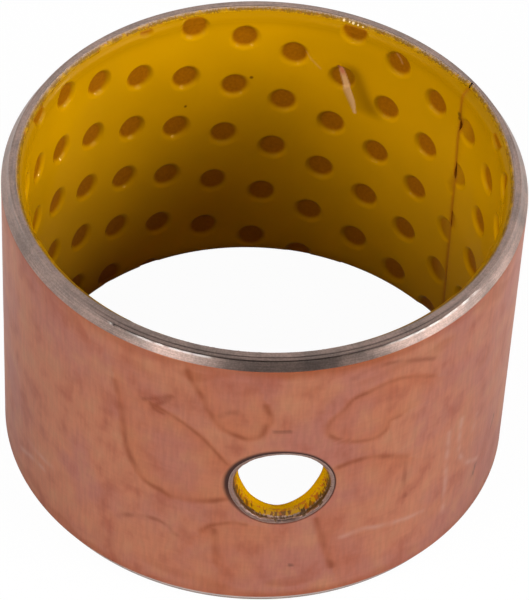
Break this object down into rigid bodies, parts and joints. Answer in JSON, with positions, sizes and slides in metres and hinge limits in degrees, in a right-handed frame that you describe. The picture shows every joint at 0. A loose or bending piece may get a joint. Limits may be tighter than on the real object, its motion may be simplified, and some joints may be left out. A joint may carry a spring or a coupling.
{
  "type": "wrapped plain bearing bush",
  "caption": "Cylindrical wrapped bush: steel back with copper flash outside, bronze bonding layer, acetal bore with grease pockets, seam and a lubrication hole.",
  "frame": {"origin": "centre of the bore at the lower end face", "axes": "+Z along the bore from the end it stands on, -Y out through the lubrication hole, +X to the right when the hole faces the viewer"},
  "size_m": [0.044, 0.044, 0.03],
  "materials": {
    "acetal": "yellow acetal, satin, with embossed grease pockets",
    "sintered_bronze": "sintered tin bronze, pores filled with acetal",
    "steel": "turned low-carbon steel",
    "copper": "matte electroplated copper flash, handled and stained"
  },
  "bodies": {
    "root": {"acetal_liner": "acetal", "bronze_interlayer": "sintered_bronze", "steel_backing": "steel", "copper_plating": "copper"}
  },
  "joints": []
}
